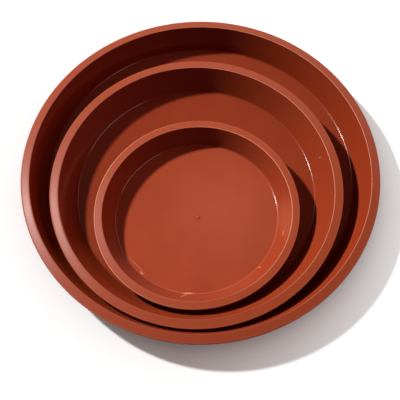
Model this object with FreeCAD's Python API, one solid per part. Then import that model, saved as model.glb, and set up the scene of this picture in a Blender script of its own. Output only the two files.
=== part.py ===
import FreeCAD
import Part
import math
import os

# A nest of three round plant saucers, large, medium and small. Each is one thin plastic moulding:
# a flat floor, a sloped wall, and a rim that falls a little outwards and ends in a turned-down lip.
# Millimetres, +Z up. The origin is the centre of the large saucer's underside.
# The smaller saucers are pushed towards -Y, where the rims come closest.

# What all three mouldings share
wall_thickness = 1.6
floor_thickness = 1.6
rim_thickness = 1.6
lip_height = 2.4            # outer face of the lip, down from the rim's outer edge
lip_thickness = 1.4
corner_radius = 2.6         # inside, where the wall meets the floor
rim_edge_radius = 0.5       # both edges of the rim's top
lip_edge_radius = 0.4
rim_root_radius = 0.8       # underneath, where the wall meets the rim
gate_well_radius = 4.0      # shallow round recess in the underside, at the moulding gate
gate_well_depth = 0.4
gate_mark_radius = 2.2      # round mark in the floor above the gate

# Large saucer
large_radius = 150.0
large_height = 19.0
large_rim_width = 7.4
large_rim_drop = 1.3        # how far the rim falls from its inner to its outer edge
large_wall_run = 13.1       # how far the wall spreads outwards from floor to rim
large_gate_rise = -0.15     # a dimple

# Medium saucer: its size follows from the play between its rim and the large one's
medium_play = 20.7
medium_height = 18.0
medium_rim_width = 7.4
medium_rim_drop = 0.9
medium_wall_run = 14.4
medium_gate_rise = -0.15
medium_front_gap = 4.5      # between the two rims at the front
medium_side_shift = -3.4

# Small saucer: likewise inside the medium one
small_play = 30.3
small_height = 15.0
small_rim_width = 6.5
small_rim_drop = 0.5
small_wall_run = 10.2
small_gate_rise = 0.25      # a low pip
small_front_gap = 8.0
small_side_shift = 0.3


# A closed outline in the XZ plane through (radius, height, rounding) corners
def rounded_outline(corners):
    points = [FreeCAD.Vector(across, 0, up) for across, up, rounding in corners]
    roundings = [rounding for across, up, rounding in corners]
    stretches = []
    for index, corner in enumerate(points):
        if roundings[index] == 0:
            stretches.append((corner, None, corner))
            continue
        back = (points[index - 1] - corner).normalize()
        ahead = (points[(index + 1) % len(points)] - corner).normalize()
        half_angle = back.getAngle(ahead) / 2
        reach = roundings[index] / math.tan(half_angle)
        inward = (back + ahead).normalize()
        crown = corner + inward * (roundings[index] / math.sin(half_angle) - roundings[index])
        stretches.append((corner + back * reach, crown, corner + ahead * reach))
    edges = []
    for index, (start, crown, end) in enumerate(stretches):
        if crown is not None:
            edges.append(Part.Arc(start, crown, end).toShape())
        edges.append(Part.makeLine(end, stretches[(index + 1) % len(stretches)][0]))
    return Part.Wire(edges)


# One saucer standing at z = 0 on the Z axis: half its section, turned all the way round
def saucer(outer_radius, height, rim_width, rim_drop, wall_run, gate_rise):
    rim_inner = outer_radius - rim_width
    floor_radius = rim_inner - wall_run
    wall_slope = wall_run / (height - floor_thickness)
    wall_across = wall_thickness * math.hypot(1, wall_slope)
    heel = floor_radius - floor_thickness * wall_slope + wall_across
    rim_slope = rim_drop / rim_width
    under_rim = height - rim_thickness + rim_slope * (rim_inner - heel)
    root_height = under_rim / (1 + rim_slope * wall_slope)
    rim_root = heel + root_height * wall_slope
    rim_outer_height = height - rim_drop
    lip_inner = outer_radius - lip_thickness
    lip_top = rim_outer_height - rim_thickness + rim_slope * lip_thickness
    lip_foot = rim_outer_height - lip_height
    mark_height = floor_thickness + gate_rise
    section = rounded_outline([
        (0, gate_well_depth, 0),
        (gate_well_radius, gate_well_depth, 0),
        (gate_well_radius, 0, 0),
        (heel, 0, corner_radius + wall_thickness),
        (rim_root, root_height, rim_root_radius),
        (lip_inner, lip_top, 0),
        (lip_inner, lip_foot, lip_edge_radius),
        (outer_radius, lip_foot, lip_edge_radius),
        (outer_radius, rim_outer_height, rim_edge_radius),
        (rim_inner, height, rim_edge_radius),
        (floor_radius, floor_thickness, corner_radius),
        (gate_mark_radius, floor_thickness, 0),
        (gate_mark_radius, mark_height, 0),
        (0, mark_height, 0),
    ])
    return Part.Face(section).revolve(FreeCAD.Vector(0, 0, 0), FreeCAD.Vector(0, 0, 1), 360)


# Each smaller saucer stands flat on the floor of the one around it, near its front
medium_radius = large_radius - large_rim_width - medium_play
medium_x = medium_side_shift
medium_y = medium_front_gap - medium_play
medium_z = floor_thickness

small_radius = medium_radius - medium_rim_width - small_play
small_x = medium_x + small_side_shift
small_y = medium_y + small_front_gap - small_play
small_z = medium_z + floor_thickness

large = saucer(large_radius, large_height, large_rim_width, large_rim_drop, large_wall_run, large_gate_rise)
medium = saucer(
    medium_radius, medium_height, medium_rim_width, medium_rim_drop, medium_wall_run, medium_gate_rise
)
small = saucer(small_radius, small_height, small_rim_width, small_rim_drop, small_wall_run, small_gate_rise)
nest = {
    "large_saucer": (large, FreeCAD.Vector(0, 0, 0)),
    "medium_saucer": (medium, FreeCAD.Vector(medium_x, medium_y, medium_z)),
    "small_saucer": (small, FreeCAD.Vector(small_x, small_y, small_z)),
}

os.makedirs("parts", exist_ok=True)
for name, (shape, place) in nest.items():
    shape.translate(place)
    shape.exportStep(f"parts/{name}.step")
    box = shape.optimalBoundingBox()
    print(f"{name}: {box.XLength:.1f} x {box.YLength:.1f} x {box.ZLength:.1f} mm,"
          f" {shape.Volume / 1000:.1f} cm3, valid {shape.isValid()}, solids {len(shape.Solids)}")
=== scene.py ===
import math

import bpy
import numpy as np
from mathutils import Matrix, Quaternion, Vector


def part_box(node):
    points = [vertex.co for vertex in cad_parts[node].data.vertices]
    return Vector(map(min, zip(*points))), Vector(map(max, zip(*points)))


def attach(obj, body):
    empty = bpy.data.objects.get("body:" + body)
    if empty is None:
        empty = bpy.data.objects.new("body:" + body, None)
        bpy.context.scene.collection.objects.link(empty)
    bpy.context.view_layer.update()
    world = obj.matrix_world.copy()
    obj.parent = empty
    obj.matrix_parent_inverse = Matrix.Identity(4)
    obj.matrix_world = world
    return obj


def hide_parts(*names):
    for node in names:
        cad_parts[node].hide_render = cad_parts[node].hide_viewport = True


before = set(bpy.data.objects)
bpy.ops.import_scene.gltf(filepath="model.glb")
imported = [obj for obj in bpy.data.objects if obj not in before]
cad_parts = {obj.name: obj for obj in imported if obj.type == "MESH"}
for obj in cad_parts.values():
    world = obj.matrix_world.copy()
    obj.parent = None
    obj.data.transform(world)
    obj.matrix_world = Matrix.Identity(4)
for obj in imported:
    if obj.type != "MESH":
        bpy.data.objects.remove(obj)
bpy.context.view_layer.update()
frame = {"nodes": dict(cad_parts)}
mm = 0.001
print("frame loaded:", ", ".join(frame["nodes"]))


# Camera

camera = {
    "place": (0.0, -0.3129, 0.6356),
    "pitch": math.radians(65.34),   # how far it looks down
    "yaw": -0.00182,                # radians, to the right of +Y
    "roll": -0.01401,               # radians, about the line of sight
    "lens": 74.45,                  # mm
    "sensor": 36,                   # mm across
    "clip": (0.01, 20),             # nearest and farthest it sees
}


def aimedCamera(view):
    # forward points along yaw and pitch, right and up are square to it, and roll turns those two about it
    forward = Vector((math.sin(view["yaw"]) * math.cos(view["pitch"]),
                      math.cos(view["yaw"]) * math.cos(view["pitch"]),
                      -math.sin(view["pitch"])))
    right = forward.cross(Vector((0, 0, 1))).normalized()
    up = right.cross(forward)
    across = right * math.cos(view["roll"]) + up * math.sin(view["roll"])
    upright = up * math.cos(view["roll"]) - right * math.sin(view["roll"])
    lens = bpy.data.cameras.new("camera")
    lens.lens = view["lens"]
    lens.sensor_width = view["sensor"]
    lens.clip_start, lens.clip_end = view["clip"]
    seen = bpy.data.objects.new("camera", lens)
    turned = Matrix((across, upright, -forward)).transposed().to_4x4()
    seen.matrix_world = Matrix.Translation(view["place"]) @ turned
    bpy.context.collection.objects.link(seen)
    bpy.context.scene.camera = seen


aimedCamera(camera)
print("camera placed")


# Material helpers

def linearColour(hexColour):
    # sRGB bytes to linear light, as a colour socket wants it
    parts = np.array([int(hexColour[i:i + 2], 16) for i in (1, 3, 5)]) / 255
    light = np.where(parts <= 0.04045, parts / 12.92, ((parts + 0.055) / 1.055) ** 2.4)
    return (*light.tolist(), 1.0)


def addNode(tree, kind, settings=None, values=None, links=None):
    # one shader node: its own settings, the values of its sockets, and what is plugged into them
    node = tree.nodes.new(kind)
    for name, value in (settings or {}).items():
        setattr(node, name, value)
    for socket, value in (values or {}).items():
        node.inputs[socket].default_value = value
    for socket, source in (links or {}).items():
        tree.links.new(source, node.inputs[socket])
    return node


def emptyMaterial(name):
    material = bpy.data.materials.new(name)
    material.use_nodes = True
    material.node_tree.nodes.clear()
    return material, material.node_tree


# Shape of the mouldings

shared = {
    "wall": 1.6 * mm,
    "floor": 1.6 * mm,
    "rim": 1.6 * mm,
    "lipHeight": 2.4 * mm,      # outer face of the turned-down lip
    "lipThickness": 1.4 * mm,
    "cornerRadius": 2.6 * mm,   # inside, between floor and wall
    "rimEdge": 0.5 * mm,        # both edges of the rim's top
    "lipEdge": 0.4 * mm,
    "rimRoot": 0.8 * mm,        # underneath, between wall and rim
    "innerLip": 0.3 * mm,       # underneath, between rim and lip
    "wellRadius": 4.0 * mm,     # recess underneath at the gate
    "wellDepth": 0.4 * mm,
    "markRadius": 2.2 * mm,     # round mark on the floor above the gate
    "markEdge": 0.1 * mm,
    "spokes": 360,              # steps round the axis
    "stride": 3.2 * mm,         # longest step along the section
    "besideArc": 0.3 * mm,      # from an arc's end to the next station
    "arcSteps": 7,
}


def sectionCorners(form):
    # half a section as (radius, height, rounding) corners, from the floor's middle out over the rim and
    # back underneath; wall and rim are straight lines, and the underside lies one thickness behind them
    rimInner = form["radius"] - form["rimWidth"]
    floorRadius = rimInner - form["wallRun"]
    wallSlope = form["wallRun"] / (form["height"] - shared["floor"])
    wallAcross = shared["wall"] * math.hypot(1, wallSlope)
    heel = floorRadius - shared["floor"] * wallSlope + wallAcross
    rimSlope = form["rimDrop"] / form["rimWidth"]
    underRim = form["height"] - shared["rim"] + rimSlope * (rimInner - heel)
    rootHeight = underRim / (1 + rimSlope * wallSlope)
    rimOuterHeight = form["height"] - form["rimDrop"]
    lipInner = form["radius"] - shared["lipThickness"]
    lipTop = rimOuterHeight - shared["rim"] + rimSlope * shared["lipThickness"]
    lipFoot = rimOuterHeight - shared["lipHeight"]
    markHeight = shared["floor"] + form["markRise"]
    slant = 2 * shared["markEdge"]
    return [
        (0, markHeight, 0),
        (shared["markRadius"], markHeight, shared["markEdge"]),
        (shared["markRadius"] + slant, shared["floor"], shared["markEdge"]),
        (floorRadius, shared["floor"], shared["cornerRadius"]),
        (rimInner, form["height"], shared["rimEdge"]),
        (form["radius"], rimOuterHeight, shared["rimEdge"]),
        (form["radius"], lipFoot, shared["lipEdge"]),
        (lipInner, lipFoot, shared["lipEdge"]),
        (lipInner, lipTop, shared["innerLip"]),
        (heel + rootHeight * wallSlope, rootHeight, shared["rimRoot"]),
        (heel, 0, shared["cornerRadius"] + shared["wall"]),
        (shared["wellRadius"], 0, shared["markEdge"]),
        (shared["wellRadius"] - slant, shared["wellDepth"], shared["markEdge"]),
        (0, shared["wellDepth"], 0),
    ]


def roundedSection(corners):
    # every corner but the first and last becomes an arc that touches both of its sides: the arc's middle
    # lies on the line that halves the corner, at rounding / sin(half the corner); the straight runs between
    # get even stations, with one close to each end so that shading stays flat between the arcs
    corners = np.array(corners, float)
    points, roundings = corners[:, :2], corners[:, 2]
    runs = [points[:1]]
    for before, here, after, rounding in zip(points, points[1:], points[2:], roundings[1:]):
        back = (before - here) / np.hypot(*(before - here))
        ahead = (after - here) / np.hypot(*(after - here))
        half = math.acos(np.clip(back @ ahead, -1, 1)) / 2
        middle = here + (back + ahead) / np.hypot(*(back + ahead)) * rounding / math.sin(half)
        reach = rounding / math.tan(half)
        startY, startX = (here + back * reach - middle)[::-1]
        endY, endX = (here + ahead * reach - middle)[::-1]
        first = math.atan2(startY, startX)
        sweep = (math.atan2(endY, endX) - first + math.pi) % (2 * math.pi) - math.pi
        turn = first + sweep * np.linspace(0, 1, shared["arcSteps"] + 1)
        runs.append(middle + rounding * np.stack([np.cos(turn), np.sin(turn)], 1))
    runs.append(points[-1:])
    stations = [runs[0]]
    for before, after in zip(runs, runs[1:]):
        length = np.hypot(*(after[0] - before[-1]))
        near = min(shared["besideArc"], length / 3) / length
        between = np.linspace(near, 1 - near, max(2, math.ceil(length / shared["stride"])))
        stations.append(before[-1] + (after[0] - before[-1]) * between[:, None])
        stations.append(after)
    return np.concatenate(stations)


def latheMesh(name, form):
    # the section turned round the axis: radius and height come from the station, the angle from the spoke;
    # the radius also swells by a cosine with two crests, in full at the rim and less towards the axis,
    # because a thin moulding cools a little out of round
    section = roundedSection(sectionCorners(form))
    turn = np.arange(shared["spokes"]) * 2 * math.pi / shared["spokes"]
    radius, height = section[1:-1].T
    ovalSize, ovalCrest = form["oval"]
    swell = ovalSize * np.cos(2 * (turn - ovalCrest))
    spread = radius + swell[:, None] * radius / form["radius"]
    grid = np.stack([form["centre"][0] + spread * np.cos(turn)[:, None],
                     form["centre"][1] + spread * np.sin(turn)[:, None],
                     form["foot"] + np.broadcast_to(height, spread.shape)], -1)
    poles = np.array([[*form["centre"], form["foot"] + section[end, 1]] for end in (0, -1)])
    vertices = np.concatenate([grid.reshape(-1, 3), poles])
    spokes, stations = spread.shape
    here = np.arange(spokes)[:, None] * stations + np.arange(stations - 1)
    there = np.roll(here, -1, 0)
    quads = np.stack([here, here + 1, there + 1, there], -1).reshape(-1, 4)
    first = np.arange(spokes) * stations
    last = first + stations - 1
    topPole, underPole = spokes * stations, spokes * stations + 1
    fans = np.concatenate([
        np.stack([np.full(spokes, topPole), first, np.roll(first, -1)], 1),
        np.stack([last, np.full(spokes, underPole), np.roll(last, -1)], 1),
    ])
    starts = np.concatenate([np.arange(len(quads)) * 4, quads.size + np.arange(len(fans)) * 3])
    mesh = bpy.data.meshes.new(name)
    mesh.vertices.add(len(vertices))
    mesh.vertices.foreach_set("co", vertices.ravel())
    mesh.loops.add(quads.size + fans.size)
    mesh.loops.foreach_set("vertex_index", np.concatenate([quads.ravel(), fans.ravel()]).astype(np.int32))
    mesh.polygons.add(len(starts))
    mesh.polygons.foreach_set("loop_start", starts.astype(np.int32))
    mesh.polygons.foreach_set("use_smooth", np.ones(len(starts), bool))
    mesh.update(calc_edges=True)
    mesh.validate()
    # radius of each point in the round section, which the material follows along the rim's edges
    across = mesh.attributes.new("acrossSection", "FLOAT", "POINT")
    across.data.foreach_set("value", np.concatenate([np.tile(radius, spokes), [0, 0]]).astype(np.float32))
    return mesh


# Terracotta coloured polypropylene

plastic = {
    "upFacingTone": "#a0462b",             # floors, the pale tone that painted light gives what faces up
    "upFacingPatch": "#984129",         # soft patches in them
    "rim": "#a1492c",
    "paintedShadeTone": "#7c2c15",              # painted shade: steep walls and undersides drawn darker than what faces up
    "facingUp": (0.68, 0.95),       # upward part of the normal, where the painted shade starts giving way to the pale tone and where it is gone
    "cloudSize": 34 * mm,           # patches in the pigment
    "cloudRange": (0.35, 0.65),     # of the noise, from one colour to the other
    "grainSize": 0.9 * mm,          # drawn coarser than the real skin so that it shows
    "grainDepth": 0.005 * mm,
    "flowWidth": 0.10,              # radians, streaks that ran out from the gate
    "flowRun": 40 * mm,             # how far out a streak stays the same
    "flowRange": (0.3, 0.7),        # of the noise, from least to most rough
    "flowDepth": 0.02 * mm,
    "ior": 1.49,
    "roughness": 0.145,
    "roughnessSpread": 0.02,
    "rimRubbed": 0.17,              # added on the flat of the rim, scuffed by stacking
    "edgeRubbed": 0.3,              # added again at both edges of the rim, so that its gloss fades there
    "edgeRubWidth": 1.5 * mm,
    "edgeBlend": 0.1 * mm,          # softness of the line between rim and wall
    "rimStart": 0.35 * mm,          # from the rim's inner edge, where the rubbed skin begins
    "rimBlend": 1.2 * mm,           # where its colour is fully the rim's
    "edgeGlint": "#d08a68",              # painted highlight: thin pale line along both edges of the rim
    "edgeGlintFull": 0.36 * mm,          # from the edge, how far the line is full
    "edgeGlintEnd": 0.72 * mm,           # and where it ends
    "edgeGlintLeast": 0.12,              # share of it where the edge catches the least painted highlight
    "innerGlintTowards": math.radians(20),     # where round the rim each edge's painted highlight is strongest
    "outerGlintTowards": math.radians(185),
    "glintSpread": (0.0, 0.85),      # cosine of the angle from there, at least and at most highlight
    "glintBlend": 1 * mm,            # from the rim's middle, where one edge's highlight gives way to the other's
    "sheen": "#a9533c",             # painted sheen: pale patch on a floor
    "glint": "#d88a68",             # painted glints: small pale marks
    "glintCore": 0.4,               # share of a mark's half width that is full
}


def flowStreaks(tree, flat, spoke):
    # noise that is narrow round the axis and long outwards, as the melt ran from the gate
    narrow = addNode(tree, "ShaderNodeVectorMath", {"operation": "SCALE"},
                     {"Scale": 1 / plastic["flowWidth"]}, {0: spoke}).outputs[0]
    outward = addNode(tree, "ShaderNodeVectorMath", {"operation": "LENGTH"},
                      links={0: flat}).outputs["Value"]
    runs = addNode(tree, "ShaderNodeMath", {"operation": "MULTIPLY"}, {1: 1 / plastic["flowRun"]},
                   {0: outward}).outputs[0]
    long = addNode(tree, "ShaderNodeCombineXYZ", links={"Z": runs}).outputs[0]
    place = addNode(tree, "ShaderNodeVectorMath", {"operation": "ADD"}, links={0: narrow, 1: long}).outputs[0]
    return addNode(tree, "ShaderNodeTexNoise", values={"Scale": 1.0, "Detail": 3.0},
                   links={"Vector": place}).outputs["Fac"]


def pigmentWithPaintedShade(tree, form, centred, flat, rimTone):
    # painted light and shade by facing: what faces up is drawn pale, the rims palest, and steep walls and
    # undersides deep red; under it, random soft patches in the pigment
    clouds = addNode(tree, "ShaderNodeTexNoise", values={"Scale": 1 / plastic["cloudSize"], "Detail": 3.0},
                     links={"Vector": centred}).outputs["Fac"]
    cloudFrom, cloudTo = plastic["cloudRange"]
    patches = addNode(tree, "ShaderNodeMapRange", values={"From Min": cloudFrom, "From Max": cloudTo},
                      links={"Value": clouds}).outputs[0]
    litTone = addNode(tree, "ShaderNodeMix", {"data_type": "RGBA"},
                       {6: linearColour(plastic["upFacingTone"]), 7: linearColour(plastic["upFacingPatch"])},
                       {0: patches}).outputs[2]
    litTone = addNode(tree, "ShaderNodeMix", {"data_type": "RGBA"}, {7: linearColour(plastic["rim"])},
                       {0: rimTone, 6: litTone}).outputs[2]
    # painted sheen: pale patches on a floor, strongest at their middle
    for sheenX, sheenY, reach, share in form["sheens"]:
        distance = addNode(tree, "ShaderNodeVectorMath", {"operation": "DISTANCE"},
                           {1: (sheenX, sheenY, 0)}, {0: flat}).outputs["Value"]
        sheened = addNode(tree, "ShaderNodeMapRange", {"interpolation_type": "SMOOTHSTEP"},
                          {"From Max": reach, "To Min": share, "To Max": 0.0},
                          {"Value": distance}).outputs[0]
        litTone = addNode(tree, "ShaderNodeMix", {"data_type": "RGBA"},
                           {7: linearColour(plastic["sheen"])}, {0: sheened, 6: litTone}).outputs[2]
    most = addNode(tree, "ShaderNodeMapRange",
                   values={"To Min": form["floorLitShare"], "To Max": form["rimLitShare"]},
                   links={"Value": rimTone}).outputs[0]
    # painted shade: the upward part of the normal picks between the dark and the pale tone
    facing = addNode(tree, "ShaderNodeSeparateXYZ",
                     links={0: addNode(tree, "ShaderNodeNewGeometry").outputs["Normal"]}).outputs["Z"]
    fadeFrom, fadeTo = plastic["facingUp"]
    level = addNode(tree, "ShaderNodeMapRange",
                    values={"From Min": fadeFrom, "From Max": fadeTo, "To Min": form["wallLitShare"]},
                    links={"Value": facing, "To Max": most}).outputs[0]
    return addNode(tree, "ShaderNodeMix", {"data_type": "RGBA"}, {6: linearColour(plastic["paintedShadeTone"])},
                   {0: level, 7: litTone}).outputs[2]


def paintedEdgeHighlights(tree, form, colour, spoke, fromMiddle, fromEdge, pastEdge):
    # painted highlights: pale thin lines along the rim's edges, the inner edge brightest on one side
    # of the rim and the outer edge on the other
    glintFrom, glintTo = plastic["glintSpread"]
    innerGlint, outerGlint = [
        addNode(tree, "ShaderNodeMapRange",
                values={"From Min": glintFrom, "From Max": glintTo,
                        "To Min": plastic["edgeGlintLeast"], "To Max": form[share]},
                links={"Value": addNode(tree, "ShaderNodeVectorMath", {"operation": "DOT_PRODUCT"},
                                        {1: (math.cos(towards), math.sin(towards), 0)},
                                        {0: spoke}).outputs["Value"]}).outputs[0]
        for share, towards in (("innerEdgeGlint", plastic["innerGlintTowards"]),
                               ("outerEdgeGlint", plastic["outerGlintTowards"]))
    ]
    glintShare = addNode(tree, "ShaderNodeMapRange",
                   values={"From Min": -plastic["glintBlend"], "From Max": plastic["glintBlend"]},
                   links={"Value": fromMiddle, "To Min": innerGlint, "To Max": outerGlint}).outputs[0]
    line = addNode(tree, "ShaderNodeMapRange",
                   values={"From Min": plastic["edgeGlintFull"], "From Max": plastic["edgeGlintEnd"], "To Max": 0.0},
                   links={"Value": fromEdge, "To Min": glintShare}).outputs[0]
    edgeGlint = addNode(tree, "ShaderNodeMath", {"operation": "MULTIPLY"}, links={0: line, 1: pastEdge}).outputs[0]
    return addNode(tree, "ShaderNodeMix", {"data_type": "RGBA"}, {7: linearColour(plastic["edgeGlint"])},
                   {0: edgeGlint, 6: colour}).outputs[2]


def paintedGlintMarks(tree, form, colour, flat):
    # painted glints: small pale ellipses with soft edges
    for markX, markY, turned, long, wide, share in form["glintMarks"]:
        own = addNode(tree, "ShaderNodeMapping", {"vector_type": "TEXTURE"},
                      {"Location": (markX * mm, markY * mm, 0), "Rotation": (0, 0, math.radians(turned)),
                       "Scale": (long * mm, wide * mm, 1)}, {"Vector": flat}).outputs[0]
        fromMark = addNode(tree, "ShaderNodeVectorMath", {"operation": "LENGTH"},
                           links={0: own}).outputs["Value"]
        inside = addNode(tree, "ShaderNodeMapRange",
                         values={"From Min": plastic["glintCore"], "From Max": 1.0,
                                 "To Min": share, "To Max": 0.0},
                         links={"Value": fromMark}).outputs[0]
        colour = addNode(tree, "ShaderNodeMix", {"data_type": "RGBA"}, {7: linearColour(plastic["glint"])},
                         {0: inside, 6: colour}).outputs[2]
    return colour


def skinRoughness(tree, flow, onRim, fromEdge, pastEdge):
    # satin all over, a little uneven along the streaks, duller on the rim and dullest at its two edges
    flowFrom, flowTo = plastic["flowRange"]
    satin = addNode(tree, "ShaderNodeMapRange",
                    values={"From Min": flowFrom, "From Max": flowTo,
                            "To Min": plastic["roughness"] - plastic["roughnessSpread"],
                            "To Max": plastic["roughness"] + plastic["roughnessSpread"]},
                    links={"Value": flow}).outputs[0]
    rubbed = addNode(tree, "ShaderNodeMath", {"operation": "MULTIPLY"}, {1: plastic["rimRubbed"]},
                     {0: onRim}).outputs[0]
    edgeRubbed = addNode(tree, "ShaderNodeMapRange",
                         values={"From Max": plastic["edgeRubWidth"], "To Min": plastic["edgeRubbed"],
                                 "To Max": 0.0}, links={"Value": fromEdge}).outputs[0]
    duller = addNode(tree, "ShaderNodeMath", {"operation": "MULTIPLY_ADD"},
                     links={0: edgeRubbed, 1: pastEdge, 2: rubbed}).outputs[0]
    return addNode(tree, "ShaderNodeMath", {"operation": "ADD"}, links={0: satin, 1: duller}).outputs[0]


def polypropylene(name, form):
    # injection-moulded polypropylene, pigmented terracotta: a satin skin with soft gloss, faint streaks
    # that run out from the gate and a fine grain; painted shade darkens steep walls and undersides, and
    # painted highlights and sheen lie along the rim's edges, in small marks and on a floor
    material, tree = emptyMaterial(name)
    place = addNode(tree, "ShaderNodeTexCoord").outputs["Object"]
    centred = addNode(tree, "ShaderNodeMapping",
                      values={"Location": (-form["centre"][0], -form["centre"][1], 0)},
                      links={"Vector": place}).outputs["Vector"]
    flat = addNode(tree, "ShaderNodeVectorMath", {"operation": "MULTIPLY"}, {1: (1, 1, 0)},
                   {0: centred}).outputs[0]
    spoke = addNode(tree, "ShaderNodeVectorMath", {"operation": "NORMALIZE"}, links={0: flat}).outputs[0]

    # where on the section a point lies: on the rim, how far from its middle, how far from its nearer edge
    section = addNode(tree, "ShaderNodeAttribute", {"attribute_name": "acrossSection"}).outputs["Fac"]
    rimInner = form["radius"] - form["rimWidth"]
    onRim, rimTone = [
        addNode(tree, "ShaderNodeMapRange",
                values={"From Min": rimInner + plastic["edgeBlend"], "From Max": rimInner + reach},
                links={"Value": section}).outputs[0]
        for reach in (plastic["rimStart"], plastic["rimBlend"])
    ]
    fromMiddle = addNode(tree, "ShaderNodeMath", {"operation": "SUBTRACT"},
                         {1: rimInner + form["rimWidth"] / 2}, {0: section}).outputs[0]
    eitherSide = addNode(tree, "ShaderNodeMath", {"operation": "ABSOLUTE"}, links={0: fromMiddle}).outputs[0]
    fromEdge = addNode(tree, "ShaderNodeMath", {"operation": "SUBTRACT"}, {0: form["rimWidth"] / 2},
                       {1: eitherSide}).outputs[0]
    pastEdge = addNode(tree, "ShaderNodeMapRange",
                       values={"From Min": -plastic["edgeBlend"], "From Max": plastic["edgeBlend"]},
                       links={"Value": fromEdge}).outputs[0]

    colour = pigmentWithPaintedShade(tree, form, centred, flat, rimTone)
    colour = paintedEdgeHighlights(tree, form, colour, spoke, fromMiddle, fromEdge, pastEdge)
    colour = paintedGlintMarks(tree, form, colour, flat)
    flow = flowStreaks(tree, flat, spoke)
    rough = skinRoughness(tree, flow, onRim, fromEdge, pastEdge)
    grain = addNode(tree, "ShaderNodeTexNoise", values={"Scale": 1 / plastic["grainSize"], "Detail": 2.0},
                    links={"Vector": centred}).outputs["Fac"]
    streaks = addNode(tree, "ShaderNodeBump", values={"Strength": 1.0, "Distance": plastic["flowDepth"]},
                      links={"Height": flow}).outputs[0]
    skin = addNode(tree, "ShaderNodeBump", values={"Strength": 1.0, "Distance": plastic["grainDepth"]},
                   links={"Height": grain, "Normal": streaks}).outputs[0]
    shader = addNode(tree, "ShaderNodeBsdfPrincipled", values={"IOR": plastic["ior"]},
                     links={"Base Color": colour, "Roughness": rough, "Normal": skin})
    addNode(tree, "ShaderNodeOutputMaterial", links={"Surface": shader.outputs[0]})
    return material


# The three saucers; their centres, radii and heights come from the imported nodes

largeSaucer = {
    "node": "large_saucer",
    "body": "large",
    "rimWidth": 7.4 * mm,
    "rimDrop": 1.3 * mm,        # from the rim's inner to its outer edge
    "wallRun": 13.1 * mm,       # how far the wall spreads outwards
    "markRise": -0.15 * mm,     # a dimple
    "oval": (0, 0),             # swell at the rim, and the angle of its crest
    # share of the pale tone on walls, floors and rims; a low share is painted shade
    "wallLitShare": 0.0,
    "floorLitShare": 0.3,
    "rimLitShare": 0.7,
    "innerEdgeGlint": 0.85,          # strongest painted highlight of the rim's two edges
    "outerEdgeGlint": 0.12,
    "sheens": [],
    "glintMarks": [],
}
mediumSaucer = {
    "node": "medium_saucer",
    "body": "medium",
    "rimWidth": 7.4 * mm,
    "rimDrop": 0.9 * mm,
    "wallRun": 14.4 * mm,
    "markRise": -0.15 * mm,
    "oval": (0.45 * mm, math.radians(90)),
    # painted shade: share of the pale tone on walls, floors and rims
    "wallLitShare": 0.1,
    "floorLitShare": 0.35,
    "rimLitShare": 0.8,
    # strongest painted highlight of each of the rim's edges
    "innerEdgeGlint": 0.85,
    "outerEdgeGlint": 0.12,
    "sheens": [],
    # a painted glint on the wall
    "glintMarks": [(104.9, 27.4, 0, 0.9, 0.9, 0.3)],
}
smallSaucer = {
    "node": "small_saucer",
    "body": "small",
    "rimWidth": 6.5 * mm,
    "rimDrop": 0.5 * mm,
    "wallRun": 10.2 * mm,
    "markRise": 0.25 * mm,      # a low pip
    "oval": (1.0 * mm, math.radians(45)),
    # painted shade: share of the pale tone on walls, floors and rims
    "wallLitShare": 0.25,
    "floorLitShare": 0.95,
    "rimLitShare": 0.9,
    # strongest painted highlight of each of the rim's edges
    "innerEdgeGlint": 0.95,
    "outerEdgeGlint": 0.9,
    "sheens": [(20 * mm, 5 * mm, 75 * mm, 0.65)],   # painted sheen on the floor: x, y, reach, strength
    "glintMarks": [                 # painted glints: x, y in mm from the middle, angle, half length, half width, strength
        (-49.4, -42.0, -46, 13.0, 0.6, 0.35),
        (-45.1, -49.0, -47, 2.5, 1.2, 0.6),
        (-7.9, -66.5, -1, 6.5, 0.8, 0.8),
        (-11.1, -69.4, 42, 5.0, 0.8, 0.5),
        (49.8, -45.6, 0, 1.2, 1.2, 0.5),
        (69.9, -18.3, 75, 2.8, 0.7, 0.35),
        # a broad painted sheen on the right wall
        (73.0, -6.0, 90, 24, 8, 0.08),
    ],
}

for form in (largeSaucer, mediumSaucer, smallSaucer):
    low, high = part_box(form["node"])
    form["centre"] = ((low[0] + high[0]) / 2, (low[1] + high[1]) / 2)
    form["radius"] = min(high[0] - low[0], high[1] - low[1]) / 2
    form["foot"], form["height"] = low[2], high[2] - low[2]
    title = form["body"] + "Moulding"
    dish = bpy.data.objects.new(title, latheMesh(title, form))
    bpy.context.collection.objects.link(dish)
    dish.data.materials.append(polypropylene(form["body"] + "TerracottaPolypropylene", form))
    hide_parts(form["node"])
    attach(dish, form["body"])
    print("moulded", title, "with", len(dish.data.polygons), "faces")


# Floor and world

ground = {
    "half": 4.0,
    "colour": "#e8e8e8",
    "seenGlow": 0.54,           # what the camera sees of it inside a shadow
    "seenLit": 0.72,            # share of the light that it adds to that
    "glowColour": "#f4feff",
    "glowSlope": (-0.02, 0.18, 0.50, 1.20),     # from x, to x, and the glow's share at each
    "contactReach": 0.04,       # how far out the dark line under the object goes
}
air = {
    "fill": 0.11,               # light that comes from everywhere
    "fillColour": "#ff9c80",
}


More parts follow.
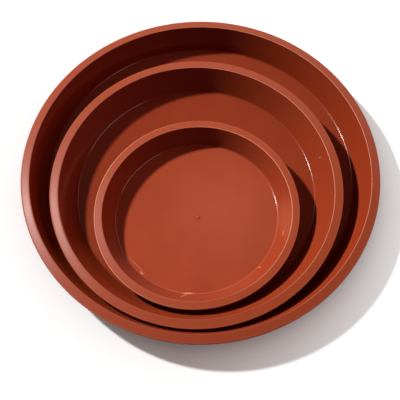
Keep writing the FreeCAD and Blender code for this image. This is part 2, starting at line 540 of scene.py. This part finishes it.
def levelFloor():
    # matt white board: light bounces off it as it is, and the camera sees it a little brighter, with a
    # shadow that is palest on the right
    half = ground["half"]
    corners = [(-half, -half, 0), (half, -half, 0), (half, half, 0), (-half, half, 0)]
    mesh = bpy.data.meshes.new("paleFloor")
    mesh.from_pydata(corners, [], [(0, 1, 2, 3)])
    board = bpy.data.objects.new("paleFloor", mesh)
    bpy.context.collection.objects.link(board)
    material, tree = emptyMaterial("whiteCard")
    plain = addNode(tree, "ShaderNodeBsdfDiffuse", values={"Color": linearColour(ground["colour"])})
    grey = ground["seenLit"]
    lit = addNode(tree, "ShaderNodeBsdfDiffuse", values={"Color": (grey, grey, grey, 1)})
    # painted light: the camera sees the floor glow, dimmed near the saucers as painted contact shade and
    # brighter towards +x, so the shadow is palest on the right
    contact = addNode(tree, "ShaderNodeAmbientOcclusion",
                      values={"Distance": ground["contactReach"]}).outputs["AO"]
    across = addNode(tree, "ShaderNodeSeparateXYZ",
                     links={0: addNode(tree, "ShaderNodeTexCoord").outputs["Object"]}).outputs["X"]
    nearX, farX, nearShare, farShare = ground["glowSlope"]
    slope = addNode(tree, "ShaderNodeMapRange",
                    values={"From Min": nearX, "From Max": farX,
                            "To Min": nearShare * ground["seenGlow"],
                            "To Max": farShare * ground["seenGlow"]},
                    links={"Value": across}).outputs[0]
    strength = addNode(tree, "ShaderNodeMath", {"operation": "MULTIPLY"},
                       links={0: contact, 1: slope}).outputs[0]
    glow = addNode(tree, "ShaderNodeEmission", values={"Color": linearColour(ground["glowColour"])},
                   links={"Strength": strength})
    shown = addNode(tree, "ShaderNodeAddShader", links={0: lit.outputs[0], 1: glow.outputs[0]})
    rays = addNode(tree, "ShaderNodeLightPath").outputs
    mirrored = addNode(tree, "ShaderNodeMath", {"operation": "ADD"},
                       links={0: rays["Is Glossy Ray"], 1: rays["Is Transmission Ray"]}).outputs[0]
    sight = addNode(tree, "ShaderNodeMath", {"operation": "ADD", "use_clamp": True},
                    links={0: rays["Is Camera Ray"], 1: mirrored}).outputs[0]
    mixed = addNode(tree, "ShaderNodeMixShader",
                    links={0: sight, 1: plain.outputs[0], 2: shown.outputs[0]})
    addNode(tree, "ShaderNodeOutputMaterial", links={"Surface": mixed.outputs[0]})
    mesh.materials.append(material)


def surroundings():
    # white where the camera looks past the floor, and a weak warm fill for everything else
    world = bpy.data.worlds.new("studio")
    world.use_nodes = True
    tree = world.node_tree
    tree.nodes.clear()
    seen = addNode(tree, "ShaderNodeLightPath").outputs["Is Camera Ray"]
    strength = addNode(tree, "ShaderNodeMapRange", values={"To Min": air["fill"], "To Max": 1.0},
                       links={"Value": seen}).outputs[0]
    tint = addNode(tree, "ShaderNodeMix", {"data_type": "RGBA"},
                   {6: linearColour(air["fillColour"]), 7: (1, 1, 1, 1)}, {0: seen}).outputs[2]
    sky = addNode(tree, "ShaderNodeBackground", links={"Color": tint, "Strength": strength})
    addNode(tree, "ShaderNodeOutputWorld", links={"Surface": sky.outputs[0]})
    bpy.context.scene.world = world


levelFloor()
surroundings()
print("floor laid")


# Lamps

keyLight = {                    # the sun of the scene, which draws every shadow
    "azimuth": math.radians(143),
    "elevation": math.radians(30.8),
    "level": 0.97,              # light on a level surface, 1 shows a colour as it is written
    "softness": 0.07,
}
sideFill = {                    # broad and weak, on the walls that face away from the key
    "azimuth": math.radians(5),
    "elevation": math.radians(16),
    "level": 0.24,              # light on a surface that faces it
    "softness": 0.8,
}
backPanel = {                   # wide and low behind the saucers
    "azimuth": math.radians(66),
    "elevation": math.radians(34),
    "away": 1.3,
    "size": (2.2, 0.66),
    "power": 2.8,
}
glossAim = (-0.12, 0, 0.02)     # what the gloss lamps are turned to
glossLamps = {                  # seen only as highlights
    "card": {"place": (-0.875, 0.47, 1.33), "size": (0.095, 0.52), "turn": math.radians(38), "power": 9.4},
    "halo": {"place": (-1.0, 0.57, 1.11), "size": (1.3, 0.3), "turn": 0, "power": 1.0},
    "strip": {"place": (1.15, -0.42, 1.03), "size": (1.2, 0.25), "turn": math.radians(-20), "power": 3.5},
}


def direction(lamp):
    # unit vector towards the lamp from the middle of the floor
    return Vector((math.cos(lamp["elevation"]) * math.cos(lamp["azimuth"]),
                   math.cos(lamp["elevation"]) * math.sin(lamp["azimuth"]),
                   math.sin(lamp["elevation"])))


def hungLamp(name, kind, place, target, settings, turn=0):
    light = bpy.data.lights.new(name, kind)
    for key, value in settings.items():
        setattr(light, key, value)
    holder = bpy.data.objects.new(name, light)
    holder.location = place
    holder.rotation_mode = "QUATERNION"
    aim = (Vector(target) - Vector(place)).to_track_quat("-Z", "Y")
    holder.rotation_quaternion = aim @ Quaternion((0, 0, 1), turn)
    bpy.context.collection.objects.link(holder)
    return holder


def sheet(lamp):
    return {"shape": "RECTANGLE", "size": lamp["size"][0], "size_y": lamp["size"][1], "energy": lamp["power"]}


middle = (0, 0, 0)
toKey = direction(keyLight)
key = hungLamp("keyLight", "SUN", toKey, middle,
               {"energy": keyLight["level"] * math.pi / toKey[2], "angle": keyLight["softness"]})
key.visible_glossy = False
hungLamp("backPanel", "AREA", backPanel["away"] * direction(backPanel), middle, sheet(backPanel))
for name, lamp in glossLamps.items():
    gloss = hungLamp(name, "AREA", lamp["place"], glossAim, sheet(lamp), lamp["turn"])
    gloss.visible_diffuse = False
side = hungLamp("sideFill", "SUN", direction(sideFill), middle,
                {"energy": sideFill["level"] * math.pi, "angle": sideFill["softness"],
                 "color": linearColour(air["fillColour"])[:3]})
side.visible_glossy = False

bpy.context.scene.view_settings.view_transform = "Standard"
print("lamps hung")
